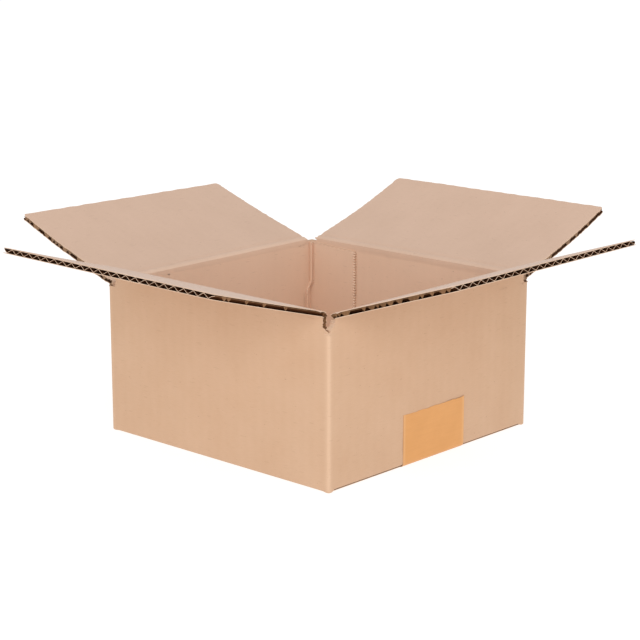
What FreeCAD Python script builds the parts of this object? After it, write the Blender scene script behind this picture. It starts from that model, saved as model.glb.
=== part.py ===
"""Small square shipping box of corrugated board, with its four top flaps splayed open.

The origin is the centre of the underside, +Z is up, and all lengths are in millimetres.
The left and right walls (-X, +X) carry the outer flaps, the front and back walls (-Y, +Y) the inner ones.
"""
import FreeCAD, Part
import math
import os
from FreeCAD import Placement, Rotation, Vector

# The space inside the four walls
inside_length = 150.0
inside_width = 150.0

# The board: two flat liners with a folded medium glued between them
board = 2.8
liner = 0.35
medium = 0.35
flute_pitch = 6.35
fold_radius = 0.3

# Heights above the table
crease_height = 81.0
wall_rise = 0.2
fold_zone = 9.0

# Slots between neighbouring flaps, and the seam where the outer bottom flaps meet
top_slot_half = 4.4
slot_overcut = 5.0
bottom_slot_half = 7.0
seam_gap = 1.0

# Top flaps, with the gap that the closed ones leave at the middle
layer_gap = 0.3
hinge_gap = 0.15
flap_gap = 4.0
solid_root = 8.0
left_angle = 17.0
right_angle = 17.0
front_angle = 21.5
back_angle = 17.0

# The glued joint at the back right corner
tab_width = 35.0
tab_thickness = 1.6
tab_drop = 3.0
tooth_pitch = 2.5
tooth_depth = 1.0

# The tape that closes the bottom
tape_width = 48.0
tape_thickness = 0.1
tape_climb = 27.0
tape_bend = 2.0

# What follows from the sizes above
outer_length = inside_length + 2 * board
outer_width = inside_width + 2 * board
outer_crease = crease_height + board + layer_gap
slot_floor = crease_height - slot_overcut
inner_layer = board + layer_gap


def board_section(points, thickness, bend):
    """Return the outline of a bent sheet as a face in the XY plane.

    The points are the corners of the line that one side of the sheet follows, and the sheet lies to
    the left of it. A corner that turns towards the sheet gets the radius bend + thickness on this
    line and bend on the far side; one that turns away gets them the other way round.
    """
    near = [Vector(x, y, 0) for x, y in points]
    ways = [(b - a).normalize() for a, b in zip(near, near[1:])]
    lefts = [Vector(-way.y, way.x, 0) for way in ways]
    outline = []
    ends = []
    for offset in (0.0, thickness):
        start = near[0] + lefts[0] * offset
        ends.append(start)
        for i in range(1, len(ways)):
            turn = math.atan2(ways[i - 1].cross(ways[i]).z, ways[i - 1].dot(ways[i]))
            towards = turn > 0
            radius = bend + (thickness - offset if towards else offset)
            half = abs(turn) / 2
            mitre = (lefts[i - 1] + lefts[i]).normalize()
            corner = near[i] + mitre * (offset / math.cos(half))
            first = corner - ways[i - 1] * (radius * math.tan(half))
            last = corner + ways[i] * (radius * math.tan(half))
            side = mitre if towards else -mitre
            middle = corner + side * (radius / math.cos(half) - radius)
            outline.append(Part.LineSegment(start, first))
            outline.append(Part.Arc(first, middle, last))
            start = last
        end = near[-1] + lefts[-1] * offset
        outline.append(Part.LineSegment(start, end))
        ends.append(end)
    outline.append(Part.LineSegment(ends[0], ends[2]))
    outline.append(Part.LineSegment(ends[1], ends[3]))
    shapes = [edge.toShape() for edge in outline]
    return Part.Face(Part.Wire(Part.__sortEdges__(shapes)))


def along_wall(section, length):
    """Stand a section up and draw it out along a wall: its X points outwards and its Y upwards."""
    solid = section.extrude(Vector(0, 0, length))
    solid.rotate(Vector(0, 0, 0), Vector(1, 0, 0), 90)
    solid.translate(Vector(0, length / 2, 0))
    return solid


def turned(shape, side):
    """Turn a shape made for the right wall round to another wall."""
    quarter = {"right": 0, "back": 90, "left": 180, "front": 270}[side]
    shape = shape.copy()
    shape.rotate(Vector(0, 0, 0), Vector(0, 0, 1), quarter)
    return shape


def wall_sizes(side):
    """Return a wall's distance from the middle, its length and the height of its top crease."""
    if side in ("left", "right"):
        return outer_length / 2, outer_width, outer_crease
    return outer_width / 2, outer_length, crease_height


def wall_ring():
    """Four walls bent from one strip, whose end at the back right corner covers the back wall's cut edge."""
    x = outer_length / 2
    y = outer_width / 2
    height = slot_floor - wall_rise
    strip = [(0, y), (-x, y), (-x, -y), (x, -y), (x, y)]
    ring = board_section(strip, board, fold_radius).extrude(Vector(0, 0, height))
    ring.translate(Vector(0, 0, wall_rise))
    return ring.fuse(Part.makeBox(x - board, board, height, Vector(0, y - board, wall_rise)))


def glue_tab():
    """Crushed tab of the back wall, glued to the inside of the right wall, with a serrated edge."""
    low = inner_layer + board + layer_gap
    high = slot_floor - tab_drop
    root = outer_width / 2 - board / 2
    edge = inside_width / 2 - tab_width
    teeth = int((high - low) / tooth_pitch)
    step = (high - low) / teeth
    outline = [Vector(0, root, low), Vector(0, edge, low)]
    for i in range(teeth):
        outline.append(Vector(0, edge + tooth_depth, low + (i + 0.5) * step))
        outline.append(Vector(0, edge, low + (i + 1) * step))
    outline.append(Vector(0, root, high))
    face = Part.Face(Part.makePolygon(outline + outline[:1]))
    tab = face.extrude(Vector(tab_thickness, 0, 0))
    tab.translate(Vector(inside_length / 2 - tab_thickness, 0, 0))
    return tab


def bottom_fold(side):
    """Foot of a wall, its bottom crease and its bottom flap, bent from one sheet."""
    reach, length, _ = wall_sizes(side)
    if side in ("left", "right"):
        path = [(seam_gap / 2, 0), (reach, 0), (reach, fold_zone)]
    else:
        over = reach - bottom_slot_half
        path = [(seam_gap / 2, inner_layer), (over, inner_layer), (reach, wall_rise), (reach, fold_zone)]
    section = board_section(path, board, fold_radius)
    return turned(along_wall(section, length - 2 * bottom_slot_half), side)


def fold_clearance(side):
    """Space that the bottom fold takes out of the ring of walls."""
    reach, length, _ = wall_sizes(side)
    width = length - 2 * bottom_slot_half
    block = Part.makeBox(2 * board, width, fold_zone, Vector(reach - board - fold_radius, -width / 2, 0))
    return turned(block, side)


def wall_top(side):
    """Tongue of a wall between two slots, bevelled inwards under the crease so that its flap can close."""
    reach, length, crease = wall_sizes(side)
    tip = crease - hinge_gap
    corners = [(reach, slot_floor), (reach, tip), (reach - board, tip - board), (reach - board, slot_floor)]
    points = [Vector(x, y, 0) for x, y in corners]
    section = Part.Face(Part.makePolygon(points + points[:1]))
    return turned(along_wall(section, length - 2 * top_slot_half), side)


def tape_section():
    """Section of the tape along the seam: up the front wall, under the bottom and up the back wall."""
    y = outer_width / 2 + tape_thickness
    path = [(-y, tape_climb), (-y, 0), (y, 0), (y, tape_climb)]
    return board_section(path, tape_thickness, tape_bend)


def bottom_tape():
    """Strip of tape, pressed flush into the underside of the outer flaps by the box's weight."""
    tape = tape_section().extrude(Vector(0, 0, tape_width))
    tape.Placement = Placement(Vector(), Rotation(Vector(0, 1, 0), Vector(0, 0, 1), Vector(1, 0, 0)))
    tape.translate(Vector(-tape_width / 2, 0, 0))
    return tape


def tape_bed():
    """Shallow bed that the tape presses into the underside of the outer flaps."""
    length = outer_width - 2 * bottom_slot_half
    return Part.makeBox(tape_width, length, tape_thickness, Vector(-tape_width / 2, -length / 2, 0))


def flute_channels(width, start, end):
    """Triangular air channels between the folded medium and the two liners of a flap."""
    count = max(1, round(width / flute_pitch))
    pitch = width / count
    rise = board - 2 * liner
    slant = math.hypot(pitch / 2, rise)
    trim = medium * slant / rise / 2
    margin = 2 * medium
    channels = []
    for i in range(2 * count - 1):
        middle = -width / 2 + (i + 1) * pitch / 2
        base, tip = (liner, board - liner) if i % 2 else (board - liner, liner)
        half = pitch / 2 - trim
        apex = base + (tip - base) * (half / (pitch / 2))
        if abs(middle) + half > width / 2 - margin:
            continue
        corners = [Vector(start, middle - half, base), Vector(start, middle + half, base)]
        corners.append(Vector(start, middle, apex))
        face = Part.Face(Part.makePolygon(corners + corners[:1]))
        channels.append(face.extrude(Vector(end - start, 0, 0)))
    return channels


def top_flap(side, angle):
    """One top flap, hinged on the outer liner at the wall's crease and lifted above level by an angle."""
    reach, length, crease = wall_sizes(side)
    width = length - 2 * top_slot_half
    depth = reach - flap_gap / 2
    root = hinge_gap
    corners = [(root, 0), (depth, 0), (depth, board), (root + board, board)]
    points = [Vector(x, y, 0) for x, y in corners]
    flap = along_wall(Part.Face(Part.makePolygon(points + points[:1])), width)
    flap = flap.cut(flute_channels(width, solid_root, depth))
    flap.rotate(Vector(0, 0, 0), Vector(0, -1, 0), angle)
    flap.translate(Vector(reach, 0, crease))
    return turned(flap, side)


def box_body():
    """Walls, glue tab and closed bottom flaps, which are one folded sheet."""
    sides = ("left", "right", "front", "back")
    body = wall_ring().cut([fold_clearance(side) for side in sides])
    folds = [bottom_fold(side) for side in sides]
    tops = [wall_top(side) for side in sides]
    body = body.fuse([glue_tab()] + folds + tops)
    body = body.cut(tape_bed())
    return body.removeSplitter()


os.makedirs("parts", exist_ok=True)
nodes = {
    "box_body": box_body(),
    "bottom_tape": bottom_tape(),
    "left_flap": top_flap("left", left_angle),
    "right_flap": top_flap("right", right_angle),
    "front_flap": top_flap("front", front_angle),
    "back_flap": top_flap("back", back_angle),
}
for name, shape in nodes.items():
    solids = shape.Solids
    print(name, "solids", len(solids), "valid", shape.isValid(), "volume", round(shape.Volume, 1))
    whole = solids[0] if len(solids) == 1 else shape
    whole.exportStep(f"parts/{name}.step")
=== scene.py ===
import bpy
import math
import numpy as np
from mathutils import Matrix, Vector


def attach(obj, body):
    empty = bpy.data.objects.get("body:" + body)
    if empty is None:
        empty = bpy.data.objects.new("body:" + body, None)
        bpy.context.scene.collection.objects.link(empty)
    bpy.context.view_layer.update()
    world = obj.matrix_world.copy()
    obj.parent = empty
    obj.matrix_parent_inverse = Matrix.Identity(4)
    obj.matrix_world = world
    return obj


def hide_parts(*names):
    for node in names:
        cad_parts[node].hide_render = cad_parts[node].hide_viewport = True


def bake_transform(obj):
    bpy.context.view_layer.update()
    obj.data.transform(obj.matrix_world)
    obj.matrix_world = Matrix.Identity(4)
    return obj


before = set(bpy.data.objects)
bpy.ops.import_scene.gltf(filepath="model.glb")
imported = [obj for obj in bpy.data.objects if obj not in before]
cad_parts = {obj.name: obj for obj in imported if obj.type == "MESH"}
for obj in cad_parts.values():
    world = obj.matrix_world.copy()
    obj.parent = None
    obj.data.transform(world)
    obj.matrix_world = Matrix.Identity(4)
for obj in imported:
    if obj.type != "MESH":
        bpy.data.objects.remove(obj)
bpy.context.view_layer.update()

# A small square shipping box of single-wall corrugated board, its bottom taped shut and its four top flaps
# splayed open. The box's sizes are in millimetres, the studio's in metres.

# The studio is a white sweep of card under broad, soft lights. The camera stands a little above the rim,
# turned to the box's front left corner, with a long lens.
METRE = 1000.0
focal_length = 103.8
sensor_width = 36.0
camera_place = Vector((-693.8, -638.4, 288.1)) / METRE
camera_azimuth = math.radians(42.595)
camera_dip = math.radians(13.683)
white = (1.0, 1.0, 1.0, 1.0)
floor_reach = 6.0
floor_colour = (0.35, 0.35, 0.35, 1.0)
floor_roughness = 0.95
floor_glow = 0.80
sky_strength = 0.72
soft_lights = {
    "near_light": {"place": (-1.25, -1.12, 0.62), "width": 1.2, "power": 13.0},
    "top_light": {"place": (-0.15, -0.15, 1.1), "width": 0.5, "power": 1.2},
}
lights_aim = Vector((0, 0, 0.05))

camera_data = bpy.data.cameras.new("camera")
camera_data.lens = focal_length
camera_data.sensor_width = sensor_width
camera = bpy.data.objects.new("camera", camera_data)
camera.location = camera_place
look = Vector((
    math.cos(camera_dip) * math.cos(camera_azimuth),
    math.cos(camera_dip) * math.sin(camera_azimuth),
    -math.sin(camera_dip),
))
camera.rotation_euler = look.to_track_quat("-Z", "Y").to_euler()
bpy.context.scene.collection.objects.link(camera)
bpy.context.scene.camera = camera

floor_mesh = bpy.data.meshes.new("floor")
floor_corners = [(-floor_reach, -floor_reach, 0), (floor_reach, -floor_reach, 0)]
floor_corners += [(floor_reach, floor_reach, 0), (-floor_reach, floor_reach, 0)]
floor_mesh.from_pydata(floor_corners, [], [(0, 1, 2, 3)])
floor = bpy.data.objects.new("floor", floor_mesh)
bpy.context.scene.collection.objects.link(floor)
floor_paint = bpy.data.materials.new("white_card")
floor_paint.use_nodes = True
floor_sockets = floor_paint.node_tree.nodes["Principled BSDF"].inputs
floor_sockets["Base Color"].default_value = floor_colour
floor_sockets["Roughness"].default_value = floor_roughness
floor_sockets["Specular IOR Level"].default_value = 0.0
floor_sockets["Emission Color"].default_value = white
floor_sockets["Emission Strength"].default_value = floor_glow
floor_mesh.materials.append(floor_paint)

sky = bpy.data.worlds.new("studio")
sky.use_nodes = True
sky.node_tree.nodes["Background"].inputs["Color"].default_value = white
sky.node_tree.nodes["Background"].inputs["Strength"].default_value = sky_strength
bpy.context.scene.world = sky
bpy.context.scene.view_settings.view_transform = "Standard"

for name, setting in soft_lights.items():
    light_data = bpy.data.lights.new(name, "AREA")
    light_data.size = setting["width"]
    light_data.energy = setting["power"]
    light = bpy.data.objects.new(name, light_data)
    light.location = setting["place"]
    light.rotation_euler = (lights_aim - light.location).to_track_quat("-Z", "Y").to_euler()
    bpy.context.scene.collection.objects.link(light)


# The folded sheet: four walls and the closed bottom flaps, cut and creased from one piece of single-wall
# board, wrapped round and closed by a tab glued inside the right wall. A place on a wall is given by the
# wall's number in sides, then outward, along (anticlockwise from above) and up.
sides = ("back", "left", "front", "right")
half_side = 77.8
board = 2.8
liner = 0.32
medium = 0.2
flute_pitch = 6.35
flute_columns = 8
crush_rate = 6.0
slot_floor = 78.3
sharp_fold = math.radians(40.0)

corner_round = 1.6
flat_reach = 70.0
joint_gap = 0.3
closest_column = 0.1
joint_rise = 1.9
joint_reach = 9.0
joint_blend = 2.0
rise_start = 60.0
broad_dent = 0.35
broad_size = 60.0
small_dent = 0.12
small_size = 17.0
lining_dent = 0.3
lining_size = 45.0
dent_side = 14.0
dent_top = 12.0
dent_foot = 3.0
dent_blend = 10.0
bead_height = 1.0
bead_width = 0.9
groove_depth = 0.35
groove_place = 2.3
groove_width = 0.7
half_slant = 0.707

foot_round = 1.6
foot_zone = 6.0
corner_lift = 0.05
foot_lift = {"left": 0.12, "right": 0.12, "front": 0.9, "back": 0.9}
foot_corner = 2.0
foot_blend = 3.0
foot_edge = {"left": 1.5, "right": 1.5, "front": 6.0, "back": 6.0}
seam_half = 0.6
layer_gap = 0.3
drop_run = 4.5
bottom_flutes = 22
bottom_chart = 300.0

tab_width = 35.0
tab_thickness = 1.3
tab_top = 79.6
tab_foot = 9.0
tab_drop = 1.2
tab_lap = 6.0
tab_margin = 1.5
tab_chart = 300.0
ridge_height = 2.0
ridge_width = 1.1
ridge_place = 0.6
ridge_groove = 0.9
ridge_groove_place = 1.9
ridge_groove_width = 0.6
ridge_reach = 2.0
ridge_fade = 2.0
ridge_lean = 3.0
lean_height = 57.0
lean_run = 7.0
glue_depth = 0.05
tooth_pitch = 1.5
tooth_depth = 3.0
tooth_curl = 0.5


def grid(*values):
    """Coordinates brought to one shape and put side by side, as a grid of points."""
    return np.stack(np.broadcast_arrays(*values), axis=-1)


def place(wall, outward, along, up):
    """Points of a wall in the part's frame: outward times the wall's normal plus along times its run."""
    turn = np.radians(90 + 90 * wall)
    x = np.cos(turn) * outward - np.sin(turn) * along
    y = np.sin(turn) * outward + np.cos(turn) * along
    return grid(x, y, up)


def ripple(u, v, size, seed):
    """Gentle unevenness between -1 and 1: the mean of six sine waves in random directions."""
    chance = np.random.default_rng(seed)
    total = 0.0
    for angle, phase, stretch in chance.uniform((0, 0, 0.6), (2 * np.pi, 2 * np.pi, 1.7), (6, 3)):
        total = total + np.sin((u * np.cos(angle) + v * np.sin(angle)) * 2 * np.pi / (size * stretch) + phase)
    return total / 6


def ease(x):
    """Smooth step from 0 to 1: three times x squared less twice x cubed, with x held between 0 and 1."""
    x = np.clip(x, 0, 1)
    return x * x * (3 - 2 * x)


def run_length(points):
    """Distance along a line of points from its first one: the running sum of its legs."""
    legs = np.diff(points, axis=0)
    return np.concatenate([[0.0], np.cumsum(np.hypot(legs[:, 0], legs[:, 1]))])


def plate(outer, inner, outer_chart, inner_chart, finishes):
    """Closed plate between two grids of points: their squares, and a rim of squares between their borders.

    The charts are the places on the flat sheet, across and along its flutes. The finishes are those of the
    outer face, the inner face, the rim's two ends and its two sides; the last may be given for each row.
    The faces are turned over if the sum of the tetrahedra between them and the origin is negative.
    """
    rows, columns = outer.shape[:2]
    ids = np.arange(rows * columns).reshape(rows, columns)
    cells = np.stack([ids[:-1, :-1], ids[1:, :-1], ids[1:, 1:], ids[:-1, 1:]], axis=-1).reshape(-1, 4)
    border = np.concatenate([ids[:, 0], ids[-1, 1:], ids[-2::-1, -1], ids[0, -2:0:-1]])
    ahead = np.roll(border, -1)
    rim = np.stack([ahead, border, border + ids.size, ahead + ids.size], axis=-1)
    faces = np.concatenate([cells, cells[:, ::-1] + ids.size, rim])
    points = np.concatenate([outer.reshape(-1, 3), inner.reshape(-1, 3)])
    chart = np.concatenate([outer_chart.reshape(-1, 2), inner_chart.reshape(-1, 2)])
    a, b, c, d = (points[faces[:, k]] for k in range(4))
    if np.sum(a * np.cross(b, c)) + np.sum(a * np.cross(c, d)) < 0:
        faces = faces[:, ::-1]
    first_side, last_side = np.broadcast_to(finishes[3], (2, rows - 1))
    end = np.full(columns - 1, finishes[2])
    skins = np.repeat(finishes[:2], len(cells))
    finish = np.concatenate([skins, first_side, end, last_side[::-1], end])
    return points, chart, faces, finish


def sheet_object(name, plates, materials):
    """One object of several plates, with the sheet chart in metres as its UV map and its folds kept sharp."""
    starts = np.cumsum([0] + [len(points) for points, _, _, _ in plates])
    points = np.concatenate([part[0] for part in plates]) / METRE
    chart = np.concatenate([part[1] for part in plates]) / METRE
    faces = np.concatenate([part[2] + start for part, start in zip(plates, starts)])
    finish = np.concatenate([part[3] for part in plates])
    mesh = bpy.data.meshes.new(name)
    mesh.vertices.add(len(points))
    mesh.vertices.foreach_set("co", points.ravel())
    mesh.loops.add(faces.size)
    mesh.loops.foreach_set("vertex_index", faces.ravel())
    mesh.polygons.add(len(faces))
    mesh.polygons.foreach_set("loop_start", np.arange(0, faces.size, 4))
    mesh.polygons.foreach_set("material_index", finish)
    mesh.uv_layers.new(name="sheet").data.foreach_set("uv", chart[faces.ravel()].ravel())
    mesh.update(calc_edges=True)
    mesh.shade_smooth()
    mesh.set_sharp_from_angle(angle=sharp_fold)
    for material in materials:
        mesh.materials.append(material)
    piece = bpy.data.objects.new(name, mesh)
    bpy.context.scene.collection.objects.link(piece)
    return piece


class Wire:
    """An output of a material's nodes. Arithmetic on wires adds the Math nodes that work it out."""

    def __init__(self, tree, socket=None):
        self.tree = tree
        self.socket = socket

    def node(self, kind, settings, sockets, output=0):
        """Add a node: its settings first, then the value or the link of each socket."""
        node = self.tree.nodes.new("ShaderNode" + kind)
        for name, value in settings.items():
            setattr(node, name, value)
        for name, value in sockets.items():
            if isinstance(value, Wire):
                self.tree.links.new(value.socket, node.inputs[name])
            else:
                node.inputs[name].default_value = value
        return Wire(self.tree, node.outputs[output])

    def maths(self, operation, *values):
        """A Math node's result for one or more values."""
        return self.node("Math", {"operation": operation}, dict(enumerate(values)))

    def __add__(self, other):
        return self.maths("ADD", self, other)

    def __radd__(self, other):
        return self.maths("ADD", other, self)

    def __sub__(self, other):
        return self.maths("SUBTRACT", self, other)

    def __rsub__(self, other):
        return self.maths("SUBTRACT", other, self)

    def __mul__(self, other):
        return self.maths("MULTIPLY", self, other)

    def __rmul__(self, other):
        return self.maths("MULTIPLY", other, self)

    def part(self, axis):
        """One coordinate of a place: X across the flutes, Y along them."""
        return self.node("SeparateXYZ", {}, {"Vector": self}, axis)

    def moved(self, offset):
        """The same place shifted by an offset."""
        return self.node("VectorMath", {"operation": "ADD"}, {0: self, 1: offset})

    def stretched(self, across, along):
        """The same place with its two directions scaled by different amounts."""
        return self.node("VectorMath", {"operation": "MULTIPLY"}, {0: self, 1: (across, along, 1.0)})

    def noise(self, detail):
        """Cloudy noise from 0 to 1 at this place."""
        return self.node("TexNoise", {}, {"Vector": self, "Scale": 1.0, "Detail": detail, "Roughness": 0.6})

    def between(self, low, high):
        """0 below low, 1 above high, and even in between."""
        sockets = {"Value": self, "From Min": low, "From Max": high}
        return self.node("MapRange", {"clamp": True}, sockets)

    def mixed(self, first, second):
        """A colour that goes from the first to the second as this value goes from 0 to 1."""
        settings = {"data_type": "RGBA", "clamp_factor": True}
        return self.node("Mix", settings, {0: self, 6: first, 7: second}, 2)

    def feed(self, shader, name):
        """Lead this output to one of the shader's sockets."""
        self.tree.links.new(self.socket, shader.inputs[name])


def new_material(name):
    """An empty finish: its material, its shader and a wire that new nodes start from."""
    material = bpy.data.materials.new(name)
    material.use_nodes = True
    return material, material.node_tree.nodes["Principled BSDF"], Wire(material.node_tree)


# Painted highlight: the rounded corner folds are drawn paler, towards this kraft, over a narrow band.
corner_highlight_kraft = (0.78, 0.56, 0.40, 1.0)
corner_highlight_reach = (0.0006, 0.0034)
corner_highlight_strength = 0.24
# Painted fill light: the walls' inside, below the folds of the top flaps, is lifted towards this pale kraft.
fill_light_kraft = (1.0, 0.74, 0.55, 1.0)
fill_light_height = (0.0782, 0.0812)
# Dark fibre colour of the shives and dashes, also used for the painted shade of the flute lines.
dark_fibre_and_flute_shade = (0.30, 0.17, 0.10, 1.0)
shive_strength = 0.4
dash_strength = 0.16
relief_height = 0.0002
paper_relief = 0.35
paper_gloss = 0.3
paper_sheen = 0.22
sheen_roughness = 0.35


def kraft_paper(name, pale, tone, rib_depth, interior_fill_light, seed):
    """Unbleached paper: cloudy tone, fibres across the flutes, dark shives, dashes, and faint flute lines of
    painted shade.

    The noises are given in waves to the metre, across and along the flutes. The flute lines are painted
    shade, the cosine of the place across. The folded corners, every 2 half_side, carry a painted highlight of
    paler kraft. How far the tone is lifted towards pale kraft on the walls' inside, below the folds of the
    top flaps, is painted fill light; only paper inside the box has any of it and the sheen of loose fibre.
    """
    material, shader, start = new_material(name)
    chart = start.node("UVMap", {"uv_map": "sheet"}, {})
    shifted = chart.moved((seed * 0.37, seed * 0.61, seed))
    clouds = shifted.stretched(38.0, 30.0).noise(3.0)
    fibres = shifted.stretched(260.0, 1500.0).noise(3.0)
    grain = shifted.stretched(1400.0, 1400.0).noise(2.0)
    shives = shifted.stretched(620.0, 900.0).noise(1.0).between(0.73, 0.78)
    dashes = shifted.stretched(170.0, 1500.0).noise(0.0).between(0.74, 0.82)
    across = chart.part("X")
    ribs = start.maths("COSINE", across * (2 * math.pi * METRE / flute_pitch))
    tone_share = clouds.between(0.3, 0.7) * 0.55 + fibres.between(0.3, 0.7) * 0.3 + grain * 0.15
    # Painted fill light on the walls' inside, below the folds.
    fill_light_below_fold = (1.0 - chart.part("Y").between(*fill_light_height)) * interior_fill_light
    paper = fill_light_below_fold.mixed(tone_share.mixed(pale, tone), fill_light_kraft)
    from_corner = start.maths("PINGPONG", across - half_side / METRE, half_side / METRE)
    # Painted highlight along each corner fold: paler kraft near the crease.
    painted_corner_highlight = (1.0 - from_corner.between(*corner_highlight_reach)) * corner_highlight_strength
    # Painted shade: faint darker lines along the flute ripple.
    flute_painted_shade = ribs.between(-1.0, 1.0) * (0.03 * rib_depth)
    marks_and_flute_shade = shives * shive_strength + dashes * dash_strength + flute_painted_shade
    relief = ribs * (0.12 * rib_depth) + fibres * 0.35 + grain * 0.15
    marks_and_flute_shade.mixed(painted_corner_highlight.mixed(paper, corner_highlight_kraft), dark_fibre_and_flute_shade).feed(shader, "Base Color")
    (0.78 + fibres * 0.16).feed(shader, "Roughness")
    bump_sockets = {"Height": relief, "Distance": relief_height, "Strength": paper_relief}
    start.node("Bump", {}, bump_sockets).feed(shader, "Normal")
    shader.inputs["Specular IOR Level"].default_value = paper_gloss if rib_depth else 0.0
    shader.inputs["Sheen Weight"].default_value = paper_sheen if interior_fill_light else 0.0
    shader.inputs["Sheen Roughness"].default_value = sheen_roughness
    return material


outer_paper = kraft_paper("outer_kraft", (0.62, 0.412, 0.274, 1), (0.57, 0.362, 0.23, 1), 0.6, 0.0, 3)
# The inside's paper carries 0.41 of the painted fill light.
inner_paper = kraft_paper("inner_kraft", (0.68, 0.475, 0.358, 1), (0.625, 0.432, 0.32, 1), 0.3, 0.41, 8)
cut_paper = kraft_paper("cut_edge", (0.74, 0.54, 0.40, 1), (0.56, 0.37, 0.25, 1), 0.0, 0.0, 5)
# Painted shade: the fluted medium and the liners' hidden faces are near black, for the dark cavities between
# the flutes.
flute_shade_paper = kraft_paper("fluted_medium_painted_shade", (0.12, 0.044, 0.018, 1), (0.065, 0.022, 0.009, 1), 0.0, 0.0, 6)
# Crushed cut edges: dark brown board, with painted shade deepening to near black.
crushed_shade_paper = kraft_paper("crushed_edge_painted_shade", (0.36, 0.19, 0.095, 1), (0.03, 0.012, 0.005, 1), 0.0, 0.0, 9)
board_finishes = (outer_paper, inner_paper, cut_paper, flute_shade_paper, crushed_shade_paper)
outer_face, inner_face, cut_face, flute_shade_face, crushed_shade_face = range(5)


def at_joint(wall, along):
    """True by the back right corner, where the two ends of the ring of walls meet."""
    return ((wall == 0) & (along < 0)) | ((wall == 3) & (along > 0))


def ring_plan():
    """Columns of the ring: the number of each one's wall and its place along it, closer towards a corner."""
    straight = np.linspace(-flat_reach, flat_reach, 71)
    bend = np.linspace(flat_reach, half_side, 27)[1:-1]
    whole = np.concatenate([-bend[::-1], straight, bend])
    wall = np.repeat(np.arange(4), len(whole))
    along = np.tile(whole, 4)
    start = board - half_side
    end = half_side - joint_gap
    keep = ((wall > 0) | (along > start)) & ((wall < 3) | (along < end - closest_column))
    wall = np.concatenate([[0], wall[keep], [3]])
    along = np.concatenate([[start], along[keep], [end]])
    return wall, along


def ring_edges(wall, along):
    """How near each column is to a corner, how free its foot is of it, its lower edge, and its top's rise.

    The lower edge eases from the wall's foot_lift down to corner_lift at a corner. The top is the floor of
    the slots, and eases up by joint_rise where the ends of the ring meet.
    """
    near = half_side - np.abs(along)
    free = ease((near - foot_corner) / foot_blend)
    lift = np.array([foot_lift[side] for side in sides])[wall]
    low = corner_lift + (lift - corner_lift) * free
    rise = joint_rise * at_joint(wall, along) * ease((joint_reach - near) / joint_blend)
    return near, free, low, rise


def ring_outer(wall, along):
    """Outer face of the ring and its chart.

    It is the wall's plane, or an arc at a corner, and is drawn in towards the foot by a quarter circle: in
    by r (1 - cos a), up by r (1 - sin a). Ripples dent it away from its edges, and are shifted along from
    wall to wall so that no two are alike.
    """
    near, free, low, rise = ring_edges(wall, along)
    heights = np.linspace(slot_floor, foot_zone, 25)[:, None]
    upper = heights + rise * ease((heights - rise_start) / (slot_floor - rise_start))
    curl = np.linspace(0.0, np.pi / 2, 8)[:, None]
    rounding = foot_round * (0.5 + 0.5 * free)
    up = np.concatenate([upper, low + rounding * (1 - np.sin(curl))])
    inset = np.concatenate([np.zeros(upper.shape), rounding * (1 - np.cos(curl))])
    broad_dents = broad_dent * ripple(along + 200.0 * wall, up, broad_size, 11)
    small_dents = small_dent * ripple(along + 90.0 * wall, up, small_size, 12)
    inland = ease(near / dent_side) * ease((slot_floor - up) / dent_top) * ease((up - dent_foot) / dent_blend)

    past = np.abs(along) - (half_side - corner_round)
    on_arc = (past > 0) & ~at_joint(wall, along)
    turn = np.where(on_arc, np.sign(along) * (np.pi / 4) * past / corner_round, 0.0)
    straight = np.where(on_arc, np.sign(along) * (half_side - corner_round), along)
    centre = np.where(on_arc, half_side - corner_round, half_side)
    radius = np.where(on_arc, corner_round, 0.0) - inset + (broad_dents + small_dents) * inland
    outward = centre + np.cos(turn) * radius
    sideways = straight + np.sin(turn) * radius * on_arc
    return place(wall, outward, sideways, up), grid(along + 2 * half_side * wall, up)


def ring_inner(wall, along, rows):
    """Inner face of the ring and its chart: the wall's plane, gently dented, with a bead down each corner.

    The bead stands exp(-(d / w)^2) of its height at a distance d from the corner, between two grooves of
    the same form.
    """
    near, _, low, rise = ring_edges(wall, along)
    jointed = at_joint(wall, along)
    inner_half = half_side - board
    inner_along = np.where(jointed, along, along * inner_half / half_side)
    corner_gap = inner_half - np.abs(inner_along)
    bead = bead_height * np.exp(-(corner_gap / bead_width) ** 2)
    groove = groove_depth * np.exp(-((corner_gap - groove_place) / groove_width) ** 2)
    raised = np.where(jointed, 0.0, bead - groove) * half_slant
    top = slot_floor + rise
    up = top + (low + board - top) * np.linspace(0, 1, rows)[:, None]
    dents = lining_dent * ripple(along + 150.0 * wall, up, lining_size, 14)
    dents = dents * ease(near / dent_side) * ease((slot_floor - up) / dent_top)
    points = place(wall, inner_half - raised + dents, inner_along - np.sign(along) * raised, up)
    return points, grid(along + 2 * half_side * wall, up)


def wall_ring():
    """The four walls as one plate, which starts and ends at the back right corner."""
    wall, along = ring_plan()
    outer, outer_chart = ring_outer(wall, along)
    inner, inner_chart = ring_inner(wall, along, len(outer))
    return plate(outer, inner, outer_chart, inner_chart, (outer_face, inner_face, cut_face, cut_face))


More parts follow.
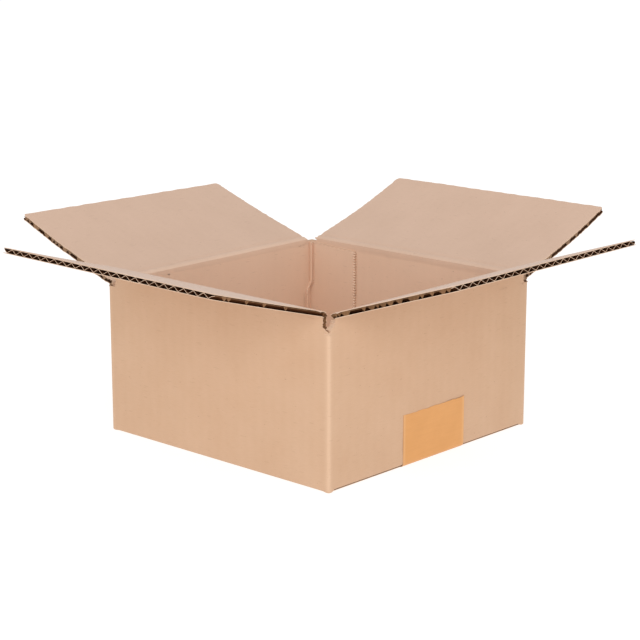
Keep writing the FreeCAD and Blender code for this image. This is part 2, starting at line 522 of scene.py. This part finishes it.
def board_skins(wall, paths, depth, low, high, flutes, chart_start, hand, tip, pressed, cut):
    """Outer liner, folded medium and inner liner of a strip of board that runs along a path.

    paths are the outer face as (outward, up) points at its two side edges, with an even blend between.
    The board's other faces lie a height to its left, or to its right if hand is -1. low and high are the
    side edges at each point, and tip is how far each column stops short of the end. The medium's height
    is a softened triangle wave, asin(s sin(a)), and pressed is how far it fills the board at the two sides,
    where the knife has crushed it. cut is the finish that it shows there.
    """
    softness = 0.985
    first_angle = 1.0
    medium_half = 0.6 * medium
    arc = run_length(paths[0])
    way = np.gradient(paths, arc, axis=1)
    way = way * (hand / np.hypot(way[..., 0], way[..., 1]))[..., None]
    columns = flutes * flute_columns + 1
    share = np.linspace(0, 1, columns)
    run = arc[:, None] * (arc[-1] - tip * np.ones(columns)) / arc[-1]
    along = low[:, None] + share * (high - low)[:, None]

    def between(curves):
        """A value along the path, from its first side edge to its second."""
        first, second = (np.interp(run, arc, curve) for curve in curves)
        return first + (second - first) * share

    def skin(height):
        """The surface at a height above the outer face: the path plus height times its left-hand normal."""
        outward = between(paths[..., 0]) - between(way[..., 1]) * height
        up = between(paths[..., 1]) + between(way[..., 0]) * height
        return place(wall, outward, along, up)

    thick = np.interp(run, arc, depth)
    chart = grid(along + 2 * half_side * wall, chart_start + run)
    angle = share * flutes * 2 * np.pi + first_angle
    swing = np.arcsin(softness * np.sin(angle)) / np.arcsin(softness)
    room = thick - 2 * liner - 2 * medium_half
    crushed = pressed * ease(1.0 - crush_rate * flutes * np.minimum(share, 1 - share))
    middle = thick / 2 + swing * (1 - crushed) * room / 2
    spread = medium_half + crushed * room / 2
    none = np.zeros(thick.shape)
    # The liners' inner faces and the medium carry the near-black painted shade of the flute cavities.
    outer_finishes = (outer_face, flute_shade_face, cut_face, cut_face)
    outer = plate(skin(none), skin(none + liner), chart, chart, outer_finishes)
    inner_finishes = (inner_face, flute_shade_face, cut_face, cut_face)
    inner = plate(skin(thick), skin(thick - liner), chart, chart, inner_finishes)
    core_finishes = (flute_shade_face, flute_shade_face, cut_face, cut)
    core = plate(skin(middle + spread), skin(middle - spread), chart, chart, core_finishes)
    return [outer, core, inner]


def bottom_flap(wall):
    """A closed bottom flap: flat on the table on the left and right, and lying on those two elsewhere."""
    side = sides[wall]
    start = half_side - foot_round
    lift = foot_lift[side]
    if side in ("left", "right"):
        corners = np.array([(start, lift), (seam_half, lift)])
    else:
        above = board + layer_gap
        corners = np.array([(start, lift), (start - drop_run, above), (seam_half, above)])
    spans = run_length(corners)
    stations = np.unique(np.concatenate([spans, np.linspace(0, spans[-1], 5)]))
    path = np.stack([np.interp(stations, spans, corners[:, k]) for k in range(2)], axis=-1)
    paths = np.stack([path, path])
    edge = np.full(len(path), half_side - foot_edge[side])
    depth = np.full(len(path), board)
    hand = -1.0
    tip = 0.0
    pressed = 0.0
    # The flap's cut edges show the crushed finish with its painted shade.
    return board_skins(
        wall, paths, depth, -edge, edge, bottom_flutes, bottom_chart, hand, tip, pressed, crushed_shade_face
    )


def glue_tab():
    """The back wall's tab on the right wall's inner face: a thin plate round the corner, with a sawn edge.

    Down its root runs a ridge, exp(-(d / w)^4) of its height at a distance d, between two grooves. It leans
    towards the back wall in its lower half. The far edge is a row of teeth, a triangle wave of the height
    that also curls off the wall, and the top edge slopes down towards it.
    """
    turn_columns = np.linspace(-tab_lap, ridge_reach + ridge_fade, 51)
    flat_columns = np.linspace(6.0, tab_width - tab_margin, 12)
    reach = np.concatenate([turn_columns, flat_columns, [tab_width]])
    level = np.linspace(0.0, 1.0, 4 * round((tab_top - tab_foot) / tooth_pitch) + 1)[:, None]
    top = tab_top - tab_drop * ease(reach / tab_width)
    up = tab_foot + (top - tab_foot) * level
    teeth = tooth_depth * np.abs((up / tooth_pitch) % 1.0 - 0.5) * (reach == tab_width)
    from_ridge = reach + ridge_lean * ease((lean_height - up) / lean_run) - ridge_place
    ridge = ridge_height * np.exp(-(from_ridge / ridge_width) ** 4)
    from_groove = np.abs(from_ridge) - ridge_groove_place
    groove = ridge_groove * np.exp(-(from_groove / ridge_groove_width) ** 2)
    raised = (ridge - groove) * half_slant * (1 - ease((reach - ridge_reach) / ridge_fade))
    back_x = np.minimum(reach, 0)
    wall_y = np.maximum(reach, 0)
    wall_face = half_side - board
    x = wall_face - tab_thickness + back_x - raised + tooth_curl * teeth
    inner = grid(x, wall_face - wall_y - raised + teeth, up)
    outer = grid(wall_face + glue_depth + back_x, wall_face + glue_depth - wall_y + teeth, up)
    chart = grid(tab_chart - reach, up)
    return plate(outer, inner, chart, chart, (inner_face, inner_face, cut_face, cut_face))


sheet_plates = [wall_ring(), glue_tab()]
for wall in range(len(sides)):
    sheet_plates += bottom_flap(wall)
walls = sheet_object("folded_walls", sheet_plates, board_finishes)
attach(walls, "box")
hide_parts("box_body")


# The tape is a strip of clear brown packing tape, stuck along the seam of the bottom flaps. Its ends run up
# the front wall and the back wall.
tape_width = 48.0
tape_thickness = 0.12
tape_stand_off = 0.1
tape_climb = 27.0
tape_bend = 2.2
tape_shift = 0.7
tape_ripple = 0.35
film_gloss = 0.35
film_relief = 0.3
film_tone = (0.70, 0.335, 0.108, 1)
film_shade = (0.64, 0.30, 0.09, 1)
film_edge = (0.78, 0.47, 0.24, 1)


def tape_strip():
    """The tape as one plate: up the front wall, round its foot, under the box and up the back wall.

    Half of its run is laid out as (y, z) points, with a quarter circle at the foot, and the other half is
    that run mirrored. Its two cut ends ripple a little.
    """
    reach = half_side + tape_thickness + tape_stand_off
    bend = np.linspace(0, np.pi / 2, 9)
    flat = np.array([0.0, 20.0, 40.0, 60.0, 70.0])
    climb = np.linspace(4.0, tape_climb, 14)
    half_y = np.concatenate([flat, reach - tape_bend * (1 - np.sin(bend)), np.full(len(climb), reach)])
    half_z = np.concatenate([0 * flat, tape_bend * (1 - np.cos(bend)), climb])
    y = np.concatenate([-half_y[::-1], half_y[1:]])
    z = np.concatenate([half_z[::-1], half_z[1:]])
    line = np.stack([y, z], axis=-1)
    length = run_length(line)
    way = np.gradient(line, length, axis=0)
    way = way / np.hypot(way[:, 0], way[:, 1])[:, None]
    across = np.linspace(-tape_width / 2, tape_width / 2, 49) + tape_shift
    is_end = np.isin(np.arange(len(y)), (0, len(y) - 1))
    cut = np.where(is_end[:, None], tape_ripple * ripple(across, 0 * across, 7.0, 31), 0.0)

    def face(height):
        """The strip's surface at a height above its outer face."""
        out_y = (y - way[:, 1] * height)[:, None]
        out_z = (z + way[:, 0] * height)[:, None] + cut
        return grid(across, out_y, out_z)

    chart = grid(across, length[:, None])
    return plate(face(0.0), face(tape_thickness), chart, chart, (0, 0, 0, 0))


def tape_film(name):
    """Brown film over kraft: glossy, cloudy where the glue has bitten, and paler along its two edges.

    The noises are given in waves to the metre, across and along the tape.
    """
    material, shader, start = new_material(name)
    chart = start.node("UVMap", {"uv_map": "sheet"}, {})
    clouds = chart.stretched(70.0, 50.0).noise(3.0)
    streaks = chart.stretched(60.0, 700.0).noise(2.0)
    from_middle = start.maths("ABSOLUTE", chart.part("X") - tape_shift / METRE)
    edge = 1.0 - (tape_width / 2 / METRE - from_middle).between(0.0009, 0.0020)
    share = clouds.between(0.3, 0.7) * 0.6 + streaks.between(0.3, 0.7) * 0.4
    (edge * 0.3).mixed(share.mixed(film_tone, film_shade), film_edge).feed(shader, "Base Color")
    (0.3 + clouds * 0.15).feed(shader, "Roughness")
    bump_sockets = {"Height": streaks * 0.3 + clouds, "Distance": relief_height, "Strength": film_relief}
    start.node("Bump", {}, bump_sockets).feed(shader, "Normal")
    shader.inputs["Specular IOR Level"].default_value = film_gloss
    return material


tape = sheet_object("seam_tape", [tape_strip()], [tape_film("packing_tape")])
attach(tape, "box")
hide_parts("bottom_tape")


# The four top flaps are cut from the same sheet and bend at creases pressed into it. Their free and side
# edges are raw cuts through the liners and the folded medium.

# What differs from flap to flap, with pairs for its two ends in the order of along: the fold's height, the
# free edge's reach and height, the slope at the root in degrees, how far the sides stand in from the
# corners at the slot, the root and the tip, over what height the slot opens, how much of each side's cut is
# crushed shut, and the finish of the cut in each slot.
top_flaps = {
    "left": {
        "fold": (86.2, 86.2), "reach": 150.2, "rise": (107.4, 106.6), "slope": 15.5,
        "slots": (5.0, 0.9), "roots": (5.9, 3.9), "tips": (5.9, 3.1), "taper": (2.6, 3.0),
        "crushed": (0.2, 0.12), "notch": (crushed_shade_face, crushed_shade_face),
    },
    "front": {
        "fold": (85.4, 85.4), "reach": 148.3, "rise": (108.6, 108.6), "slope": 18.5,
        "slots": (0.2, 4.0), "roots": (4.0, 4.5), "tips": (4.8, 6.2), "taper": (4.6, 2.6),
        "crushed": (0.45, 0.2), "notch": (cut_face, crushed_shade_face),
    },
    "back": {
        "fold": (79.6, 78.9), "reach": 150.2, "rise": (103.3, 104.2), "slope": 16.5,
        "slots": (5.6, 0.8), "roots": (6.0, 1.3), "tips": (6.6, 2.4), "taper": (2.6, 2.6),
        "crushed": (0.2, 0.4), "notch": (crushed_shade_face, crushed_shade_face),
    },
    "right": {
        "fold": (80.2, 80.3), "reach": 150.0, "rise": (105.9, 105.9), "slope": 15.5,
        "slots": (0.8, 5.2), "roots": (1.2, 5.5), "tips": (2.2, 5.8), "taper": (2.6, 2.6),
        "crushed": (0.12, 0.2), "notch": (crushed_shade_face, crushed_shade_face),
    },
}
wall_overlap = 0.6
fold_round = 0.9
crease_crush = 0.5
crease_width = 0.9
mitre_share = 0.8
raggedness = 0.16
slot_tear = 2.0
tip_round = 1.6
tip_gap = 0.25
tip_wave = 0.4
top_flutes = 23
bend_below = 4.5
bend_beyond = (6.5, 1.0)

# Rows of a flap's path: up the wall's top, then round the fold. Within the fold the sides start to run
# straight towards the tip, and the slot and the knife's tears end. The crease is pressed in just past it.
upright_rows = 11
fold_rows = 11
root_row = upright_rows + 4
slot_row = upright_rows + 7
tear_row = upright_rows + 9
crease_row = upright_rows + fold_rows + 1


def flap_path(fold, reach, rise, slope):
    """Outer face of a wall's top and its flap: upright, an arc of fold_round, then a gentle curve.

    The curve is a quadratic one, (1-t)^2 a + 2 t (1-t) b + t^2 c, that leaves the arc along its tangent and
    ends at reach outward and rise up. Its points lie closer together at the crease.
    """
    lean = math.radians(slope)
    turn = np.linspace(0.0, np.pi / 2 - lean, fold_rows)
    start_up = fold - fold_round
    wall_up = np.linspace(slot_floor - wall_overlap, start_up, upright_rows + 1)[:-1]
    upright = grid(half_side, wall_up)
    arc = grid(half_side + fold_round * (1 - np.cos(turn)), start_up + fold_round * np.sin(turn))
    first = arc[-1]
    last = np.array((reach, rise))
    pull = np.hypot(*(last - first)) / 2
    handle = first + pull * np.array([math.cos(lean), math.sin(lean)])
    t = np.concatenate([[0.01, 0.025, 0.04], np.linspace(0.06, 1, 48)])[:, None]
    sheet = (1 - t) ** 2 * first + 2 * t * (1 - t) * handle + t ** 2 * last
    return np.concatenate([upright, arc, sheet])


def flap_depth(arc, slope):
    """The board's thickness along a flap's path.

    Across the fold it is measured along the fold's own rays, so that the inner face comes to a corner:
    1 / cos(half the turn less the ray's angle). At the crease it is crushed, by exp(-(d / w)^2).
    """
    half_turn = math.radians(90 - slope) / 2
    off_ray = half_turn - np.abs(np.linspace(-half_turn, half_turn, fold_rows))
    swell = np.ones(len(arc))
    swell[upright_rows:upright_rows + fold_rows] += mitre_share * (1 / np.cos(off_ray) - 1)
    return board * swell - crease_crush * np.exp(-((arc - arc[crease_row]) / crease_width) ** 2)


def flap_tip(width, seed):
    """How far each column stops short of the free edge: its rounded corners, and a slight waviness."""
    across = np.linspace(0, width, top_flutes * flute_columns + 1)
    near_side = np.minimum(across, width - across)
    over = np.clip(tip_round - near_side, 0, tip_round)
    wavy = tip_gap + tip_wave * ripple(across, 0 * across, 9.0, seed)
    return tip_round - np.sqrt(tip_round ** 2 - over ** 2) + wavy


for side, form in top_flaps.items():
    wall = sides.index(side)
    paths = np.stack([
        flap_path(fold, form["reach"], rise, form["slope"]) for fold, rise in zip(form["fold"], form["rise"])
    ])
    arc = run_length(paths[0])
    depth = flap_depth(arc, form["slope"])
    slots, roots, tips, taper, crushed, notch = (
        np.array(form[key])[:, None] for key in ("slots", "roots", "tips", "taper", "crushed", "notch")
    )
    opened = ease((arc - arc[1]) / taper)
    run_out = np.clip((arc - arc[root_row]) / (arc[-1] - arc[root_row]), 0, 1)
    insets = slots + (roots - slots) * opened + (tips - roots) * run_out
    chance = np.random.default_rng(40 + wall)
    ragged = chance.normal(0.0, raggedness, (2, len(arc))) * (1 + slot_tear * (arc < arc[tear_row]))
    low = insets[0] - half_side + ragged[0]
    high = half_side - insets[1] + ragged[1]

    shut = 1.0 * (chance.random((2, len(arc))) < crushed)
    shut = np.where(arc < arc[slot_row], 1.0, shut)
    shut[:, -1] = 0.0
    half_columns = top_flutes * flute_columns // 2
    pressed = np.repeat(shut, (half_columns + 1, half_columns), axis=0).T
    # Cuts within the slots take the notch finish, elsewhere the crushed one with its painted shade.
    cut = np.where(arc[1:] < arc[slot_row], notch, crushed_shade_face)
    tip = flap_tip(high[-1] - low[-1], 50 + wall)
    hand = 1.0
    skins = board_skins(wall, paths, depth, low, high, top_flutes, slot_floor, hand, tip, pressed, cut)
    flap = sheet_object("top_flap_" + side, skins, board_finishes)

    fold = max(form["fold"])
    start = place(wall, half_side, 0.0, max(fold - bend_below, slot_floor)) / METRE
    end = place(wall, half_side + bend_beyond[0], 0.0, fold + bend_beyond[1]) / METRE
    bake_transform(flap)
    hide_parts(side + "_flap")
